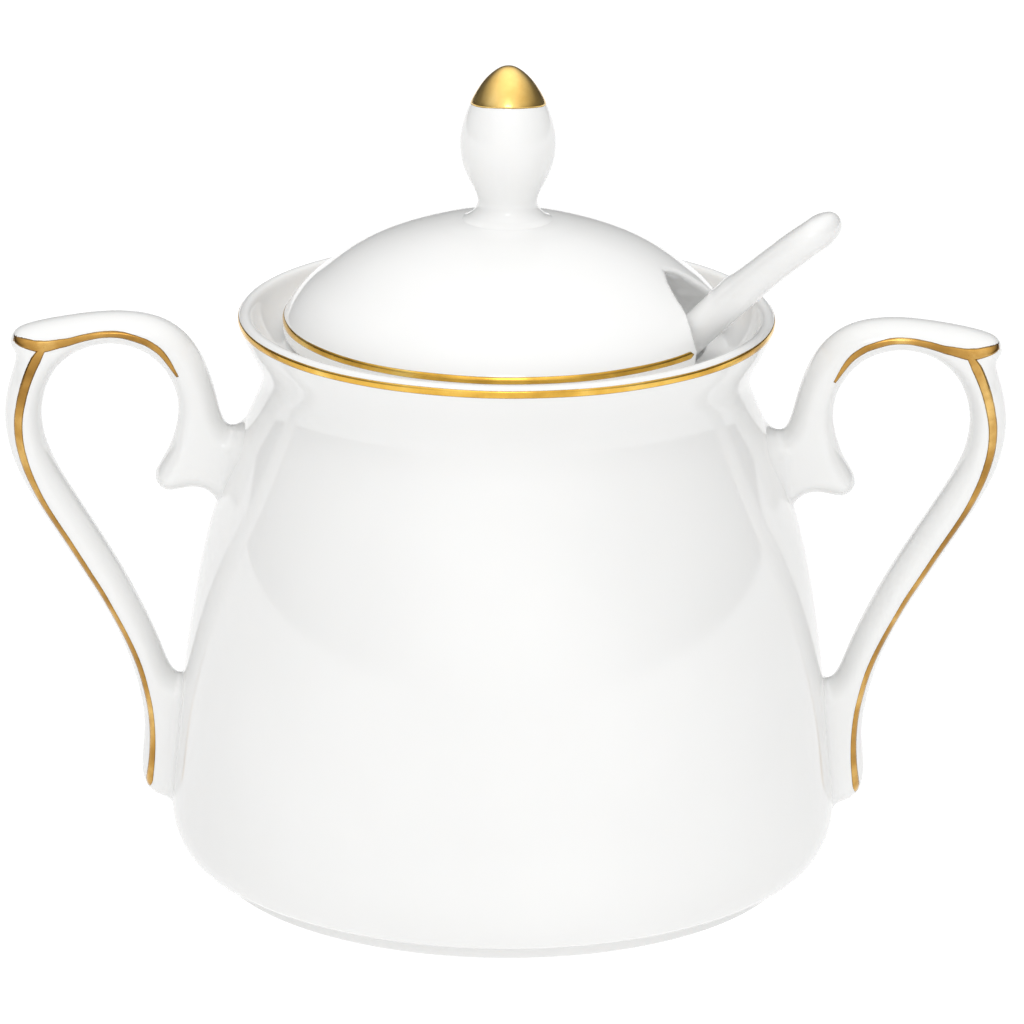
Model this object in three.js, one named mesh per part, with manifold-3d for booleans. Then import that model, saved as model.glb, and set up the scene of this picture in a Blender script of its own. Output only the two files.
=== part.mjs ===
// Lidded porcelain sugar bowl with two scroll handles and a spoon.
// Millimetres, +Z up. The origin is the middle of the foot ring, on the surface that it stands on.
// +X runs through one handle, -Y is the front.
import * as THREE from 'three';
import { mergeVertices } from 'three/addons/utils/BufferGeometryUtils.js';
import Module from 'manifold-3d';

const wasm = await Module();
wasm.setup();

// ---- driving dimensions ----
const GAP = 0.3;                    // air between neighbouring pieces
const TURNS = 48;                   // facets round the bowl and the lid
const KNOB_TURNS = 24;              // facets round the knob

const FOOT_INNER_R = 42.2;
const FOOT_OUTER_R = 44.7;
const BASE_UNDERSIDE = 2.0;         // height of the recess under the base
const FLOOR = 5.0;                  // height of the inside floor
const BELLY_R = 50.6;
const NECK_R = 36.7;
const NECK_Z = 76;
const BAND_R = 40.15;               // outside of the gilt band on the rim
const BAND_LOW = 84.95;
const BAND_HIGH = 85.95;
const BAND_THICK = 0.5;             // of both gilt bands, across the ring
const RIM_TOP = 86.55;
const THROAT_R = 29.9;              // opening inside the ledge that carries the lid
const LEDGE_Z = 82.2;
const THROAT_LOW = 79.2;

const LID_R = 33.0;                 // white edge of the lid
const LID_BAND_R = 33.5;
const LID_BAND_LOW = 85.1;
const LID_BAND_HIGH = 86.0;
const LID_SEAT = LEDGE_Z + GAP;
const FLANGE_R = 28.9;              // locating flange inside the throat
const FLANGE_THICK = 2.4;
const FLANGE_LOW = 78.6;
const LID_CROWN = 100.3;            // flat seat of the knob
const NOTCH_AZIMUTH = -14;          // degrees from +X
const NOTCH_HALF_WIDTH = 10.6;      // at the lid's edge
const NOTCH_TOP = 94.2;
const NOTCH_START_R = 12;           // the cut runs outwards from here
const NOTCH_LENGTH = 28;

const KNOB_FOOT_R = 6.4;
const KNOB_CAP_Z = 118.4;           // lower edge of the gilt cap
const KNOB_TOP = 124.2;

const HANDLE_HALF_WIDTH = 4.0;      // along Y
const HANDLE_ROUNDING = 1.2;
const GILT_THICK = 0.4;             // of the strokes on the handles

const SPOON_AZIMUTH = -20;          // degrees from +X
const SPOON_SLOPE = 46;             // degrees above the horizontal, along the straight stretch
const SPOON_AT_NOTCH = [31.4, 88.1];
const SPOON_STRAIGHT_START = 6;     // the bent finger end runs this far down past the notch
const SPOON_STRAIGHT_END = 109.5;   // from the notch down to the tip of the spoon's bowl
const SPOON_STEM_HALF = [4.3, 2.6]; // half width and half thickness of the stem, at its top
const SPOON_NECK_HALF = [2.7, 2.1]; // the same where the stem meets the spoon's bowl
const SPOON_BOWL_LENGTH = 37;
const SPOON_BOWL_HALF_WIDTH = 12;
const SPOON_BOWL_DEPTH = 4.5;
const SPOON_BOWL_THICK = [1.9, 1.1]; // half thickness at its neck and at its tip
const SPOON_ROUND = 12;             // points round one cross-section
const SPOON_BOWL_CUTS = 8;

// ---- materials ----
const porcelain = (name) => new THREE.MeshStandardMaterial({
  name, color: 0xf6f6f4, roughness: 0.08, metalness: 0,
});
const gold = (name) => new THREE.MeshStandardMaterial({
  name, color: 0xd9a441, roughness: 0.22, metalness: 1,
});

// ---- helpers ----
const degrees = (angle) => THREE.MathUtils.degToRad(angle);

// A smooth curve through [x, y] points, as an array of Vector2.
function curve(points, steps) {
  const spline = new THREE.SplineCurve(points.map(([x, y]) => new THREE.Vector2(x, y)));
  return spline.getPoints(steps);
}

// A body of revolution about Z from a profile of [radius, z] or Vector2 points.
function revolve(profile, turns) {
  const points = profile.map((p) => (Array.isArray(p) ? new THREE.Vector2(p[0], p[1]) : p));
  const geometry = new THREE.LatheGeometry(points, turns);
  geometry.rotateX(Math.PI / 2);
  return geometry;
}

function toSolid(geometry) {
  const bare = geometry.clone();
  bare.deleteAttribute('normal');
  bare.deleteAttribute('uv');
  const merged = mergeVertices(bare, 1e-4);
  return new wasm.Manifold(new wasm.Mesh({
    numProp: 3,
    vertProperties: new Float32Array(merged.attributes.position.array),
    triVerts: new Uint32Array(merged.index.array),
  }));
}

function fromSolid(solid) {
  const mesh = solid.getMesh();
  const geometry = new THREE.BufferGeometry();
  geometry.setAttribute('position', new THREE.BufferAttribute(mesh.vertProperties, 3));
  geometry.setIndex(new THREE.BufferAttribute(mesh.triVerts, 1));
  geometry.computeVertexNormals();
  return geometry;
}

// A flat XZ outline made into a slab that is centred on Y and rounded at its edges.
function slab(outline, halfWidth, rounding) {
  const geometry = new THREE.ExtrudeGeometry(new THREE.Shape(outline), {
    depth: 2 * (halfWidth - rounding),
    steps: 1,
    bevelEnabled: rounding > 0,
    bevelThickness: rounding,
    bevelSize: rounding,
    bevelOffset: -rounding,
    bevelSegments: 2,
  });
  geometry.translate(0, 0, rounding - halfWidth);
  geometry.rotateX(Math.PI / 2);
  return geometry;
}

const group = new THREE.Group();

function add(name, geometry, material) {
  const mesh = new THREE.Mesh(geometry, material);
  mesh.name = name;
  group.add(mesh);
  return mesh;
}

// ---- bowl ----
const BODY_SIDE = [
  [45.0, 2.2], [47.8, 2.9], [49.8, 5.0], [BELLY_R, 9], [50.2, 15], [49.1, 25], [47.4, 40],
  [45.2, 51], [42.7, 60], [39.6, 69], [37.5, 73], [NECK_R, NECK_Z], [37.4, 79.3], [38.9, 82.2],
  [39.5, 84.1],
];
const SIDE_STEPS = 22;

function bodyProfile() {
  const groove = BAND_R - BAND_THICK - GAP;
  return [
    [0, BASE_UNDERSIDE],
    [FOOT_INNER_R - 1.2, BASE_UNDERSIDE],
    [FOOT_INNER_R, 0],
    [FOOT_OUTER_R, 0],
    ...curve(BODY_SIDE, SIDE_STEPS),
    [groove, BAND_LOW - GAP],
    [groove, BAND_HIGH + GAP],
    [groove - 0.4, RIM_TOP],
    [groove - 1.2, RIM_TOP - 0.15],
    ...curve([[37.2, 85.2], [36.2, 83.9], [34.9, 82.7], [33.8, LEDGE_Z]], 3),
    [THROAT_R, LEDGE_Z],
    [THROAT_R, THROAT_LOW],
    ...curve([[30.6, 78], [33.2, 75.4], [36.3, 69], [39.5, 60], [42.1, 51], [44.4, 40],
      [46.2, 25], [47.0, 14], [46.3, 9.3], [44.2, 6.3], [40.8, FLOOR]], 11),
    [0, FLOOR],
  ];
}

function ring(inner, outer, low, high, turns) {
  const section = [[inner, low], [outer, low], [outer, high], [inner, high], [inner, low]];
  return revolve(section, turns);
}

add('bowl_body', revolve(bodyProfile(), TURNS), porcelain('bowl_glaze'));
const rimBand = ring(BAND_R - BAND_THICK, BAND_R, BAND_LOW, BAND_HIGH, TURNS);
add('rim_gilding', rimBand, gold('rim_gold'));

// ---- handles ----
// Side view of one handle in XZ: over the arch to the thumb rest, down the outside to the lower
// end, then back up inside the finger loop to the pointed spur below the upper root.
const HANDLE_OUTSIDE = [
  [38.0, 67.4], [41.9, 67.6], [43.0, 70.5], [44.6, 76.4], [47.3, 81.5], [51.6, 84.65],
  [58.2, 85.75], [65.5, 84.95], [72.0, 83.6], [74.1, 81.8], [73.4, 79.0], [75.0, 73.0],
  [75.3, 69.0], [73.8, 62.0], [69.4, 53.8], [64.0, 45.2], [58.9, 36.2], [55.9, 27.9],
  [54.8, 20.5], [55.2, 13.6], [53.2, 9.8], [48.0, 9.0],
];
const HANDLE_INSIDE = [
  [47.0, 27.8], [49.9, 28.6], [52.3, 33.5], [57.8, 45.2], [64.7, 56.7], [68.8, 64.4],
  [69.8, 70.5], [67.9, 76.7], [63.4, 80.2], [58.6, 80.95], [53.6, 79.4], [50.2, 75.4],
  [49.4, 70.6], [50.6, 65.2], [52.8, 60.6], [50.6, 58.9], [46.2, 58.3], [44.4, 55.9],
  [42.0, 55.2],
];
const HANDLE_OUTSIDE_STEPS = 36;
const HANDLE_INSIDE_STEPS = 30;

// The gilt strokes on the side of a handle: one over the arch from the tip of the thumb rest,
// and one that leaves it and runs down the outer edge. Each entry is x, z, width.
const ARCH_STROKE = [
  [73.2, 82.2, 0.9], [69.6, 81.5, 1.9], [65.2, 82.4, 1.3], [60.4, 83.4, 1.0], [55.8, 83.0, 1.0],
  [52.2, 81.2, 1.0], [49.4, 77.6, 0.4],
];
const OUTER_STROKE = [
  [69.0, 81.5, 0.9], [70.9, 78.4, 1.4], [72.8, 72.8, 1.3], [72.9, 67.0, 1.2], [70.6, 59.0, 1.0],
  [65.6, 50.4, 0.95], [60.2, 41.4, 0.9], [55.9, 32.5, 0.9], [53.7, 24.0, 0.9],
  [53.5, 18.0, 0.9], [53.8, 12.8, 1.1],
];

// The space that the bowl takes from a handle: its side, grown by the gap.
function bodyClearance() {
  const side = curve(BODY_SIDE, SIDE_STEPS).map((p) => new THREE.Vector2(p.x + GAP, p.y));
  return toSolid(revolve([[0, 1], [side[0].x, 1], ...side, [0, 84.1]], TURNS));
}

// A stroke of changing width along a curve, as a flat outline.
function strokeOutline(stroke, steps) {
  const middle = curve(stroke.map(([x, z]) => [x, z]), steps);
  const width = new THREE.SplineCurve(stroke.map((p, i) => new THREE.Vector2(i, p[2])));
  const left = [];
  const right = [];
  middle.forEach((p, i) => {
    const before = middle[Math.max(i - 1, 0)];
    const after = middle[Math.min(i + 1, steps)];
    const side = after.clone().sub(before).normalize();
    const half = width.getPoint(i / steps).y / 2;
    left.push(new THREE.Vector2(p.x - side.y * half, p.y + side.x * half));
    right.unshift(new THREE.Vector2(p.x + side.y * half, p.y - side.x * half));
  });
  return [...left, ...right];
}

function handleSolid() {
  const outline = [
    ...curve(HANDLE_OUTSIDE, HANDLE_OUTSIDE_STEPS),
    ...curve(HANDLE_INSIDE, HANDLE_INSIDE_STEPS),
  ];
  return toSolid(slab(outline, HANDLE_HALF_WIDTH, HANDLE_ROUNDING)).subtract(bodyClearance());
}

// The gilt strokes of one side, level with y = 0.
function giltSolid() {
  const strokes = [strokeOutline(ARCH_STROKE, 12), strokeOutline(OUTER_STROKE, 16)];
  const [arch, outer] = strokes.map((outline) => toSolid(slab(outline, GILT_THICK / 2, 0)));
  return arch.add(outer);
}

const rightHandle = handleSolid();
const gilt = giltSolid();
const giltOffset = HANDLE_HALF_WIDTH + GAP + GILT_THICK / 2;

for (const side of ['right', 'left']) {
  const turned = (solid) => (side === 'right' ? solid : solid.mirror([1, 0, 0]));
  add(`handle_${side}`, fromSolid(turned(rightHandle)), porcelain(`handle_${side}_glaze`));
  for (const [face, offset] of [['front', -giltOffset], ['back', giltOffset]]) {
    const name = `handle_${side}_gilding_${face}`;
    add(name, fromSolid(turned(gilt).translate([0, offset, 0])), gold(`${name}_gold`));
  }
}

// ---- lid ----
function lidProfile() {
  const inner = FLANGE_R - FLANGE_THICK;
  const groove = LID_BAND_R - BAND_THICK - GAP;
  return [
    [0, 97.2],
    ...curve([[8, 97.0], [14, 95.6], [20, 92.8], [25, 88.6], [inner, 84.5]], 6),
    [inner, FLANGE_LOW],
    [FLANGE_R, FLANGE_LOW],
    [FLANGE_R, LID_SEAT],
    [LID_R - 0.9, LID_SEAT],
    [LID_R, LID_SEAT + 1],
    [LID_R, LID_BAND_LOW - GAP],
    [groove, LID_BAND_LOW - GAP],
    [groove, LID_BAND_HIGH + GAP],
    ...curve([[32.4, 87.3], [30.3, 90], [27.9, 92], [25.1, 94.1], [21.6, 96.2], [17.2, 98],
      [12.2, 99.5], [KNOB_FOOT_R + 0.8, LID_CROWN]], 9),
    [0, LID_CROWN],
  ];
}

// The pointed notch for the spoon, as a bar that runs outwards from under the dome.
function notchBar() {
  const side = curve([[NOTCH_HALF_WIDTH, 84.5], [8.3, 88.5], [6.4, 90.3], [4.9, 91.8],
    [2.5, 93.4], [0, NOTCH_TOP]], 9);
  const otherSide = side.slice(0, -1).reverse().map((p) => new THREE.Vector2(-p.x, p.y));
  const arch = new THREE.Shape([
    new THREE.Vector2(-NOTCH_HALF_WIDTH, FLANGE_LOW - 2),
    new THREE.Vector2(NOTCH_HALF_WIDTH, FLANGE_LOW - 2),
    ...side,
    ...otherSide,
  ]);
  const bar = new THREE.ExtrudeGeometry(arch, { depth: NOTCH_LENGTH, bevelEnabled: false });
  bar.rotateX(Math.PI / 2);
  bar.rotateZ(Math.PI / 2);
  bar.translate(NOTCH_START_R, 0, 0);
  bar.rotateZ(degrees(NOTCH_AZIMUTH));
  return toSolid(bar);
}

const notch = notchBar();
add('lid', fromSolid(toSolid(revolve(lidProfile(), TURNS)).subtract(notch)), porcelain('lid_glaze'));
const lidBand = ring(LID_BAND_R - BAND_THICK, LID_BAND_R, LID_BAND_LOW, LID_BAND_HIGH, TURNS);
add('lid_gilding', fromSolid(toSolid(lidBand).subtract(notch)), gold('lid_gold'));

// ---- knob ----
const knobProfile = [
  [0, LID_CROWN + GAP],
  [KNOB_FOOT_R, LID_CROWN + GAP],
  ...curve([[5.3, 101.2], [4.35, 103], [5.0, 105], [6.4, 108], [7.15, 112.2], [6.7, 115.5],
    [5.7, KNOB_CAP_Z - GAP]], 12),
  ...curve([[4.7, KNOB_CAP_Z - GAP], [3.9, 119.9], [2.9, 121.3], [1.6, 122.5],
    [0, KNOB_TOP - 0.9]], 5),
];
const capProfile = [
  [5.05, KNOB_CAP_Z],
  ...curve([[5.6, KNOB_CAP_Z], [4.6, 120.2], [3.4, 122.1], [2.0, 123.5], [0, KNOB_TOP]], 6),
  ...curve([[0, KNOB_TOP - 0.6], [1.8, 122.9], [3.1, 121.5], [4.2, 119.9],
    [5.05, KNOB_CAP_Z]], 5),
];
add('lid_knob', revolve(knobProfile, KNOB_TURNS), porcelain('knob_glaze'));
add('knob_gilding', revolve(capProfile, KNOB_TURNS), gold('knob_gold'));

// ---- spoon ----
// Its centre line lies in one upright plane, as [distance from the bowl's axis, z].
function spoonLines() {
  const slope = degrees(SPOON_SLOPE);
  const [r, z] = SPOON_AT_NOTCH;
  const down = (t) => [r - t * Math.cos(slope), z - t * Math.sin(slope)];
  const finger = new THREE.SplineCurve(
    [[51.3, 105.6], [47.2, 102.9], [41.2, 97.9], [35.8, 92.6], [r, z], down(SPOON_STRAIGHT_START)]
      .map(([x, y]) => new THREE.Vector2(x, y)),
  );
  const straight = new THREE.LineCurve(
    new THREE.Vector2(...down(SPOON_STRAIGHT_START)),
    new THREE.Vector2(...down(SPOON_STRAIGHT_END)),
  );
  return { finger, straight };
}

// The wide, rounded finger end: share of its length, half width, half thickness.
const FINGER_SECTIONS = [
  [0.02, 2.6, 1.5],
  [0.08, 4.4, 2.4],
  [0.2, 5.4, 2.7],
  [0.45, 5.0, 2.7],
  [0.7, 4.4, 2.6],
  [1, ...SPOON_STEM_HALF],
];

// Every cross-section from the finger end to the tip: its middle, the direction of its upper
// side, half width, half thickness and depth of the dish.
function spoonStations({ finger, straight }) {
  const stations = [];
  const place = (line, at, half, thick, dish) => {
    const tangent = line.getTangent(at);
    const up = new THREE.Vector2(tangent.y, -tangent.x);
    stations.push({ middle: line.getPoint(at), up, half, thick, dish });
  };
  for (const [at, half, thick] of FINGER_SECTIONS) place(finger, at, half, thick, 0);

  const straightLength = SPOON_STRAIGHT_END - SPOON_STRAIGHT_START;
  const neck = (straightLength - SPOON_BOWL_LENGTH) / straightLength;
  const [stemHalf, stemThick] = SPOON_STEM_HALF;
  const [neckHalf, neckThick] = SPOON_NECK_HALF;
  for (const share of [0.3, 0.6, 0.85, 1]) {
    const half = THREE.MathUtils.lerp(stemHalf, neckHalf, share ** 2);
    place(straight, neck * share, half, THREE.MathUtils.lerp(stemThick, neckThick, share), 0);
  }
  for (let i = 1; i < SPOON_BOWL_CUTS; i += 1) {
    const share = i / SPOON_BOWL_CUTS;
    const swell = Math.sin(Math.PI * share ** 0.85);
    const half = Math.max(neckHalf * (1 - share), SPOON_BOWL_HALF_WIDTH * swell ** 0.75);
    const thick = THREE.MathUtils.lerp(...SPOON_BOWL_THICK, share);
    place(straight, neck + (1 - neck) * share, half, thick, SPOON_BOWL_DEPTH * swell);
  }
  return stations;
}

function spoonGeometry() {
  const azimuth = degrees(SPOON_AZIMUTH);
  const lines = spoonLines();
  const stations = spoonStations(lines);
  const positions = [];
  const put = ({ middle, up }, across, rise) => {
    const r = middle.x + up.x * rise;
    positions.push(r * Math.cos(azimuth) - across * Math.sin(azimuth));
    positions.push(r * Math.sin(azimuth) + across * Math.cos(azimuth));
    positions.push(middle.y + up.y * rise);
  };
  for (const station of stations) {
    for (let i = 0; i < SPOON_ROUND; i += 1) {
      const angle = (2 * Math.PI * i) / SPOON_ROUND;
      const sag = station.dish * Math.sin(angle) ** 2;
      put(station, station.half * Math.cos(angle), station.thick * Math.sin(angle) - sag);
    }
  }
  const last = stations[stations.length - 1];
  put({ middle: lines.finger.getPoint(0), up: stations[0].up }, 0, 0);
  put({ middle: lines.straight.getPoint(1), up: last.up }, 0, 0);

  const index = [];
  const endPoint = stations.length * SPOON_ROUND;
  const lastRow = endPoint - SPOON_ROUND;
  for (let i = 0; i < SPOON_ROUND; i += 1) {
    const j = (i + 1) % SPOON_ROUND;
    for (let row = 0; row < lastRow; row += SPOON_ROUND) {
      const below = row + SPOON_ROUND;
      index.push(row + i, below + i, row + j);
      index.push(row + j, below + i, below + j);
    }
    index.push(endPoint, i, j);
    index.push(endPoint + 1, lastRow + j, lastRow + i);
  }
  const geometry = new THREE.BufferGeometry();
  geometry.setAttribute('position', new THREE.Float32BufferAttribute(positions, 3));
  geometry.setIndex(index);
  geometry.computeVertexNormals();
  return geometry;
}

add('spoon', spoonGeometry(), porcelain('spoon_glaze'));

export default group;
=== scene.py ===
# Looks of a lidded porcelain sugar bowl with gilt lines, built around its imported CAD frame.
# Shapes are worked out in millimetres in the frame's own axes and turned into metres at the end.
import math

import bpy
import numpy as np
from mathutils import Matrix, Vector


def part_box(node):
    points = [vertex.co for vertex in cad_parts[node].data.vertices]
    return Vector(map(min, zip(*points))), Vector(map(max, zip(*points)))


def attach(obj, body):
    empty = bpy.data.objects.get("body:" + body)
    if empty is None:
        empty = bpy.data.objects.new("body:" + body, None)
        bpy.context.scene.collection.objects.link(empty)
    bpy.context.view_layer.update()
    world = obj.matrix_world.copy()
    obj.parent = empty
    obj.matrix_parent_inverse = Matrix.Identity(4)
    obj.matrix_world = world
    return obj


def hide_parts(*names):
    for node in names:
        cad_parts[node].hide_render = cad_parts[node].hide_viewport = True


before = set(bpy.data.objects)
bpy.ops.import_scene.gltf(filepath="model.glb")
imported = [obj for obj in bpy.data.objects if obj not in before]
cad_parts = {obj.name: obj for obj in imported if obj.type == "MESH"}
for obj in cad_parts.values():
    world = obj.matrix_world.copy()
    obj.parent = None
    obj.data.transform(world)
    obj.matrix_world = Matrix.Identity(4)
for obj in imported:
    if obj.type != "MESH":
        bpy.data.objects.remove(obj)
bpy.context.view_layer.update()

MM = 0.001

# ---- sizes taken from the frame ----


def node_box(name):
    """Lowest and highest corner of a CAD node, in millimetres."""
    low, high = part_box(name)
    return np.array(low) / MM, np.array(high) / MM


BODY_HIGH = node_box("bowl_body")[1]
RIM_BAND = node_box("rim_gilding")
LID_BAND = node_box("lid_gilding")
KNOB_CAP = node_box("knob_gilding")
HANDLE_BOX = node_box("handle_right")
GILDING_ROOM = 0.4          # the CAD handle leaves this much across for its gilding
HANDLE_HALF_WIDTH = HANDLE_BOX[1][1] + GILDING_ROOM
BELLY_R = BODY_HIGH[1]
BAND_R = RIM_BAND[1][0]
LID_BAND_R = LID_BAND[1][1]

# ---- curves ----
SPLINE_SAMPLES = 4000


def smooth_curve(points, spacing, closed=False):
    """A curve with continuous curvature through the points, sampled at an even spacing."""
    points = np.asarray(points, float)
    if closed:
        wrap = 4
        points = np.concatenate([points[-wrap:], points, points[:wrap]])
    step = np.sqrt(np.linalg.norm(np.diff(points, axis=0), axis=1))
    knots = np.concatenate([[0], np.cumsum(step)])
    n = len(points)
    h = np.diff(knots)
    system = np.zeros((n, n))
    right = np.zeros((n, points.shape[1]))
    system[0, 0] = system[-1, -1] = 1
    for i in range(1, n - 1):
        system[i, i - 1:i + 2] = h[i - 1], 2 * (h[i - 1] + h[i]), h[i]
        ahead = (points[i + 1] - points[i]) / h[i]
        behind = (points[i] - points[i - 1]) / h[i - 1]
        right[i] = 6 * (ahead - behind)
    bend = np.linalg.solve(system, right)
    first, last = (knots[wrap], knots[-wrap]) if closed else (0, knots[-1])
    dense = np.linspace(first, last, SPLINE_SAMPLES)
    i = np.clip(np.searchsorted(knots, dense, side="right") - 1, 0, n - 2)
    a = ((knots[i + 1] - dense) / h[i])[:, None]
    b = ((dense - knots[i]) / h[i])[:, None]
    hh = (h[i] ** 2)[:, None] / 6
    bow = ((a ** 3 - a) * bend[i] + (b ** 3 - b) * bend[i + 1]) * hh
    curve = a * points[i] + b * points[i + 1] + bow
    return even(curve, spacing, closed)


def even(curve, spacing, closed=False):
    """The same curve with its points at an even spacing."""
    curve = np.asarray(curve, float)
    length = np.concatenate([[0], np.cumsum(np.linalg.norm(np.diff(curve, axis=0), axis=1))])
    count = max(int(round(length[-1] / spacing)), 2)
    at = np.linspace(0, length[-1], count + 1)
    out = np.stack([np.interp(at, length, curve[:, k]) for k in range(curve.shape[1])], 1)
    return out[:-1] if closed else out


def rounded(corners, radius, steps=6):
    """A polyline with each inner corner turned into an arc of about that radius."""
    corners = np.asarray(corners, float)
    out = [corners[0]]
    for before, at, after in zip(corners[:-2], corners[1:-1], corners[2:]):
        a, b = before - at, after - at
        cut = min(radius, np.linalg.norm(a) / 2, np.linalg.norm(b) / 2)
        start = at + a / np.linalg.norm(a) * cut
        end = at + b / np.linalg.norm(b) * cut
        for t in np.linspace(0, 1, steps + 1):
            out.append((1 - t) ** 2 * start + 2 * t * (1 - t) * at + t ** 2 * end)
    out.append(corners[-1])
    return np.array(out)


# ---- meshes ----


def mesh_object(name, points, faces, material):
    """A smooth-shaded object from points in millimetres."""
    mesh = bpy.data.meshes.new(name)
    mesh.from_pydata((np.asarray(points) * MM).tolist(), [], [list(map(int, f)) for f in faces])
    mesh.validate()
    mesh.shade_smooth()
    mesh.materials.append(material)
    obj = bpy.data.objects.new(name, mesh)
    bpy.context.scene.collection.objects.link(obj)
    return obj


def revolve(name, profile, turns, material):
    """A solid of revolution about Z."""
    profile = np.asarray(profile, float)
    angles = np.arange(turns) * 2 * math.pi / turns
    on_axis = profile[:, 0] < 1e-6
    points, rows = [], []
    for (r, z), pole in zip(profile, on_axis):
        rows.append(len(points))
        if pole:
            points.append((0, 0, z))
            continue
        for angle in angles:
            points.append((r * math.cos(angle), r * math.sin(angle), z))
    faces = []
    for k in range(len(profile) - 1):
        a, b = rows[k], rows[k + 1]
        for i in range(turns):
            j = (i + 1) % turns
            if on_axis[k] and on_axis[k + 1]:
                continue
            if on_axis[k]:
                faces.append((a, b + j, b + i))
            elif on_axis[k + 1]:
                faces.append((a + i, a + j, b))
            else:
                faces.append((a + i, a + j, b + j, b + i))
    return mesh_object(name, points, faces, material)


def outline_distance(x, y, outline):
    """Signed distance from points to a closed outline, negative inside."""
    start = np.asarray(outline, float)
    end = np.roll(start, -1, axis=0)
    best = np.full(x.shape, np.inf)
    inside = np.zeros(x.shape, bool)
    for (ax, ay), (bx, by) in zip(start, end):
        dx, dy = bx - ax, by - ay
        size = dx * dx + dy * dy
        if size < 1e-18:
            continue
        t = np.clip(((x - ax) * dx + (y - ay) * dy) / size, 0, 1)
        best = np.minimum(best, (x - ax - t * dx) ** 2 + (y - ay - t * dy) ** 2)
        if ay != by:
            crosses = (ay > y) != (by > y)
            inside ^= crosses & (x < ax + (y - ay) * dx / dy)
    return np.where(inside, -1, 1) * np.sqrt(best)


def smooth_min(a, b, blend):
    """The lower of two distances, with a fillet about as wide as blend."""
    h = np.clip(0.5 + 0.5 * (b - a) / blend, 0, 1)
    return b + (a - b) * h - blend * h * (1 - h)


def smooth_max(a, b, blend):
    return -smooth_min(-a, -b, blend)


def gradient(field, points, reach=0.02):
    out = np.empty_like(points)
    for k in range(3):
        step = np.zeros(3)
        step[k] = reach
        out[:, k] = (field(points + step) - field(points - step)) / (2 * reach)
    return out


def settle(field, points, cell, rounds):
    """Moves points on to the surface where the field is zero."""
    for _ in range(rounds):
        slope = gradient(field, points)
        move = field(points)[:, None] * slope / np.maximum((slope ** 2).sum(1), 1e-6)[:, None]
        length = np.linalg.norm(move, axis=1)[:, None]
        points = points - move * np.minimum(1, 0.5 * cell / np.maximum(length, 1e-9))
    return points


def surface_net(field, low, high, cell):
    """Points and quads of the surface where field(points) is zero, inside a box."""
    low, high = np.asarray(low, float), np.asarray(high, float)
    counts = np.ceil((high - low) / cell).astype(int) + 1
    axes = [low[k] + cell * np.arange(counts[k]) for k in range(3)]
    grid = np.stack(np.meshgrid(*axes, indexing="ij"), -1).reshape(-1, 3)
    values = field(grid).reshape(counts)
    inside = values < 0
    cells = tuple(counts - 1)
    total = np.zeros(cells + (3,))
    hits = np.zeros(cells)
    quads = []
    for axis in range(3):
        others = [k for k in range(3) if k != axis]
        first = [slice(None)] * 3
        second = [slice(None)] * 3
        first[axis] = slice(0, -1)
        second[axis] = slice(1, None)
        a, b = values[tuple(first)], values[tuple(second)]
        cross = inside[tuple(first)] != inside[tuple(second)]
        t = np.where(cross, a / np.where(cross, a - b, 1), 0)
        where = np.stack(np.indices(a.shape).astype(float), -1)
        where[..., axis] += t
        for du in (0, 1):
            for dv in (0, 1):
                pick = [slice(None)] * 3
                pick[others[0]] = slice(du, du + cells[others[0]])
                pick[others[1]] = slice(dv, dv + cells[others[1]])
                c = cross[tuple(pick)]
                total += where[tuple(pick)] * c[..., None]
                hits += c
        at = np.argwhere(cross)
        keep = (at[:, others[0]] > 0) & (at[:, others[1]] > 0)
        keep &= (at[:, others[0]] < cells[others[0]]) & (at[:, others[1]] < cells[others[1]])
        at = at[keep]
        into = inside[tuple(first)][tuple(at.T)]
        if axis == 1:
            into = ~into
        corners = []
        for du, dv in ((1, 1), (0, 1), (0, 0), (1, 0)):
            corner = at.copy()
            corner[:, others[0]] -= du
            corner[:, others[1]] -= dv
            corners.append(np.ravel_multi_index(corner.T, cells))
        quad = np.stack(corners, 1)
        quads.append(np.where(into[:, None], quad, quad[:, ::-1]))
    quads = np.concatenate(quads)
    used = hits.reshape(-1) > 0
    number = np.cumsum(used) - 1
    points = low + cell * (total.reshape(-1, 3)[used] / hits.reshape(-1)[used][:, None])
    quads = number[quads]
    points = settle(field, points, cell, 3)
    for _ in range(2):
        points = settle(field, relax(points, quads), cell, 2)
    return points, quads


def relax(points, quads):
    """Each point moved half way to the middle of its neighbours."""
    total = np.zeros_like(points)
    count = np.zeros(len(points))
    for a, b in ((0, 1), (1, 2), (2, 3), (3, 0)):
        for i, j in ((quads[:, a], quads[:, b]), (quads[:, b], quads[:, a])):
            for k in range(3):
                total[:, k] += np.bincount(i, points[j, k], len(points))
            count += np.bincount(i, minlength=len(points))
    return 0.5 * points + 0.5 * total / count[:, None]


# ---- materials ----


def node_material(name):
    material = bpy.data.materials.new(name)
    material.use_nodes = True
    tree = material.node_tree
    shader = tree.nodes["Principled BSDF"]
    place = tree.nodes.new("ShaderNodeTexCoord")
    return material, tree, shader, place.outputs["Object"]


def noise(tree, place, scale, detail, roughness=0.5, stretch=None):
    """Noise in object space. scale is in features per metre."""
    node = tree.nodes.new("ShaderNodeTexNoise")
    node.inputs["Scale"].default_value = scale
    node.inputs["Detail"].default_value = detail
    node.inputs["Roughness"].default_value = roughness
    source = place
    if stretch:
        mapping = tree.nodes.new("ShaderNodeMapping")
        mapping.inputs["Scale"].default_value = stretch
        tree.links.new(place, mapping.inputs["Vector"])
        source = mapping.outputs["Vector"]
    tree.links.new(source, node.inputs["Vector"])
    return node.outputs["Fac"]


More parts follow.
